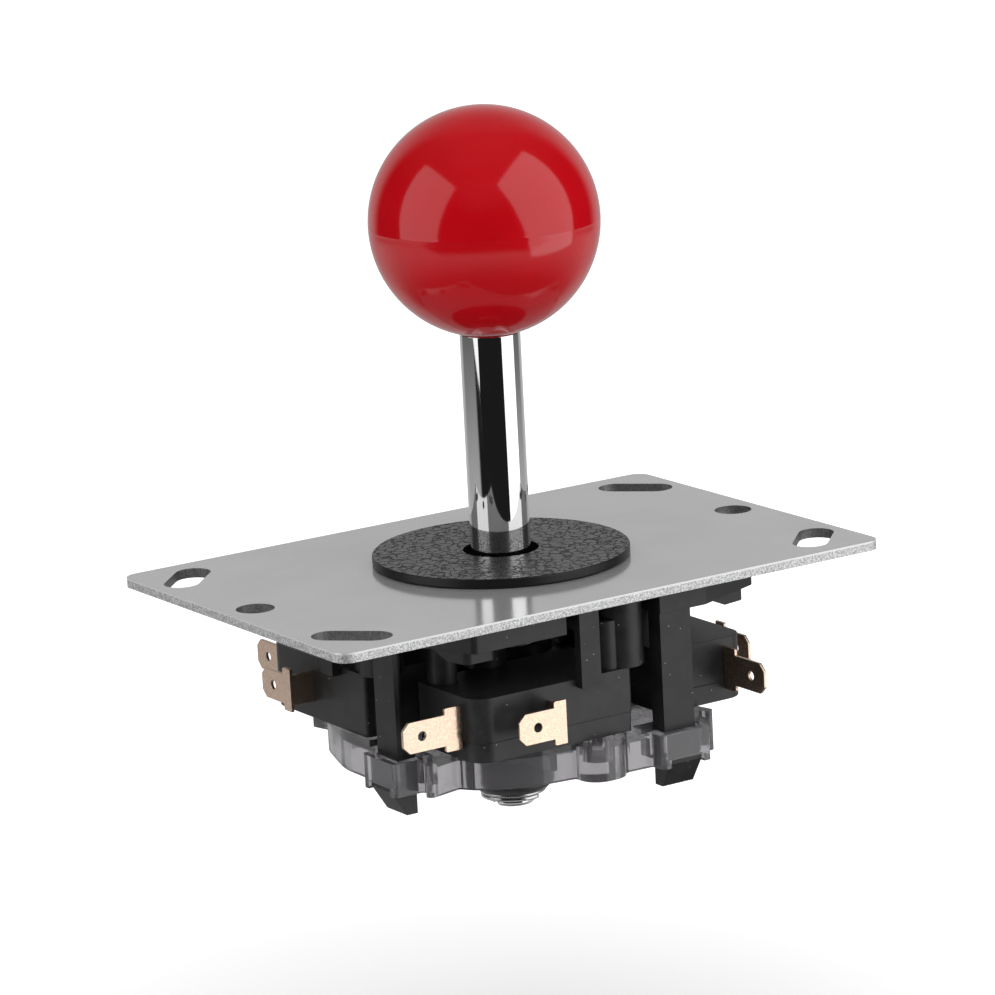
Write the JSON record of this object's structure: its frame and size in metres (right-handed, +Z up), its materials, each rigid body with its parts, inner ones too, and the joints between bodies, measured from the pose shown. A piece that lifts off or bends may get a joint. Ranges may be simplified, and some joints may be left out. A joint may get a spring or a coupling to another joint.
{
  "type": "arcade joystick lever",
  "caption": "Ball-top arcade joystick lever on a slotted steel plate, with a sprung shaft, microswitches in a pinwheel and a clear square restrictor gate.",
  "frame": {"origin": "centre of the mounting plate's top face, midway between its two round end holes", "axes": "+Z up along the lever at rest, +X along the plate's long side, +Y away from the player in the picture's view"},
  "size_m": [0.097, 0.0684, 0.1083],
  "materials": {
    "plate_steel": "zinc plated, satin mirror",
    "screw_steel": "bright plated",
    "clip_steel": "bright spring steel",
    "spring_steel": "drawn wire",
    "disc_plastic": "leather grain on top, glossy edge",
    "ball_red": "polished",
    "insert_brass": "turned",
    "shaft_chrome": "mirror chrome",
    "bush_nylon": "natural nylon",
    "actuator_black": "moulded satin",
    "housing_black": "moulded satin",
    "switch_black": "moulded satin",
    "plunger_black": "moulded",
    "terminal_metal": "tinned, pale pinkish gold, speckled",
    "blade_copper": "rolled strip",
    "gate_clear": "clear polycarbonate"
  },
  "bodies": {
    "base": {"mounting_plate": "plate_steel", "housing_screws": "screw_steel", "dust_disc": "disc_plastic", "housing": "housing_black", "restrictor_gate": "gate_clear", "spring_seat": "bush_nylon", "front_switch_case": "switch_black", "front_switch_cover": "switch_black", "front_common_terminal": "terminal_metal", "front_open_terminal": "terminal_metal", "front_snap_blade": "blade_copper", "right_switch_case": "switch_black", "right_switch_cover": "switch_black", "right_common_terminal": "terminal_metal", "right_open_terminal": "terminal_metal", "right_snap_blade": "blade_copper", "back_switch_case": "switch_black", "back_switch_cover": "switch_black", "back_common_terminal": "terminal_metal", "back_open_terminal": "terminal_metal", "back_snap_blade": "blade_copper", "left_switch_case": "switch_black", "left_switch_cover": "switch_black", "left_common_terminal": "terminal_metal", "left_open_terminal": "terminal_metal", "left_snap_blade": "blade_copper"},
    "spring_link": {"return_spring": "spring_steel"},
    "rocker": {"pivot_bush": "bush_nylon"},
    "lever": {"lever_shaft": "shaft_chrome", "ball_top": "ball_red", "ball_insert": "insert_brass", "actuator": "actuator_black", "bottom_washer": "screw_steel", "retaining_clip": "clip_steel"},
    "front_button": {"front_switch_plunger": "plunger_black"},
    "right_button": {"right_switch_plunger": "plunger_black"},
    "back_button": {"back_switch_plunger": "plunger_black"},
    "left_button": {"left_switch_plunger": "plunger_black"}
  },
  "joints": [
    {"name": "tilt_front_back", "type": "hinge", "parent": "base", "child": "spring_link", "pos_m": [0, 0, -0.0042], "axis": [1, 0, 0], "range_deg": [-7.5, 7.5], "stiffness_Nm_per_rad": 0.75, "deforming": ["return_spring"]},
    {"name": "tilt_left_right", "type": "hinge", "parent": "spring_link", "child": "rocker", "pos_m": [0, 0, -0.0042], "axis": [0, 1, 0], "range_deg": [-7.5, 7.5], "stiffness_Nm_per_rad": 0.75, "deforming": ["return_spring"]},
    {"name": "lever_spin", "type": "hinge", "parent": "rocker", "child": "lever", "pos_m": [0, 0, -0.0042], "axis": [0, 0, 1], "continuous": true},
    {"name": "front_button_press", "type": "slide", "parent": "base", "child": "front_button", "axis": [0, 1, 0], "range_m": [-0.0014, 0.0014]},
    {"name": "back_button_press", "type": "slide", "parent": "base", "child": "back_button", "axis": [0, 1, 0], "range_m": [-0.0014, 0.0014]},
    {"name": "left_button_press", "type": "slide", "parent": "base", "child": "left_button", "axis": [1, 0, 0], "range_m": [-0.0014, 0.0014]},
    {"name": "right_button_press", "type": "slide", "parent": "base", "child": "right_button", "axis": [1, 0, 0], "range_m": [-0.0014, 0.0014]}
  ],
  "couplings": [
    {"joint": "front_button_press", "follows": "tilt_front_back", "m_per_rad": 0.009751},
    {"joint": "back_button_press", "follows": "tilt_front_back", "m_per_rad": 0.009751},
    {"joint": "left_button_press", "follows": "tilt_left_right", "m_per_rad": -0.009751},
    {"joint": "right_button_press", "follows": "tilt_left_right", "m_per_rad": -0.009751}
  ]
}
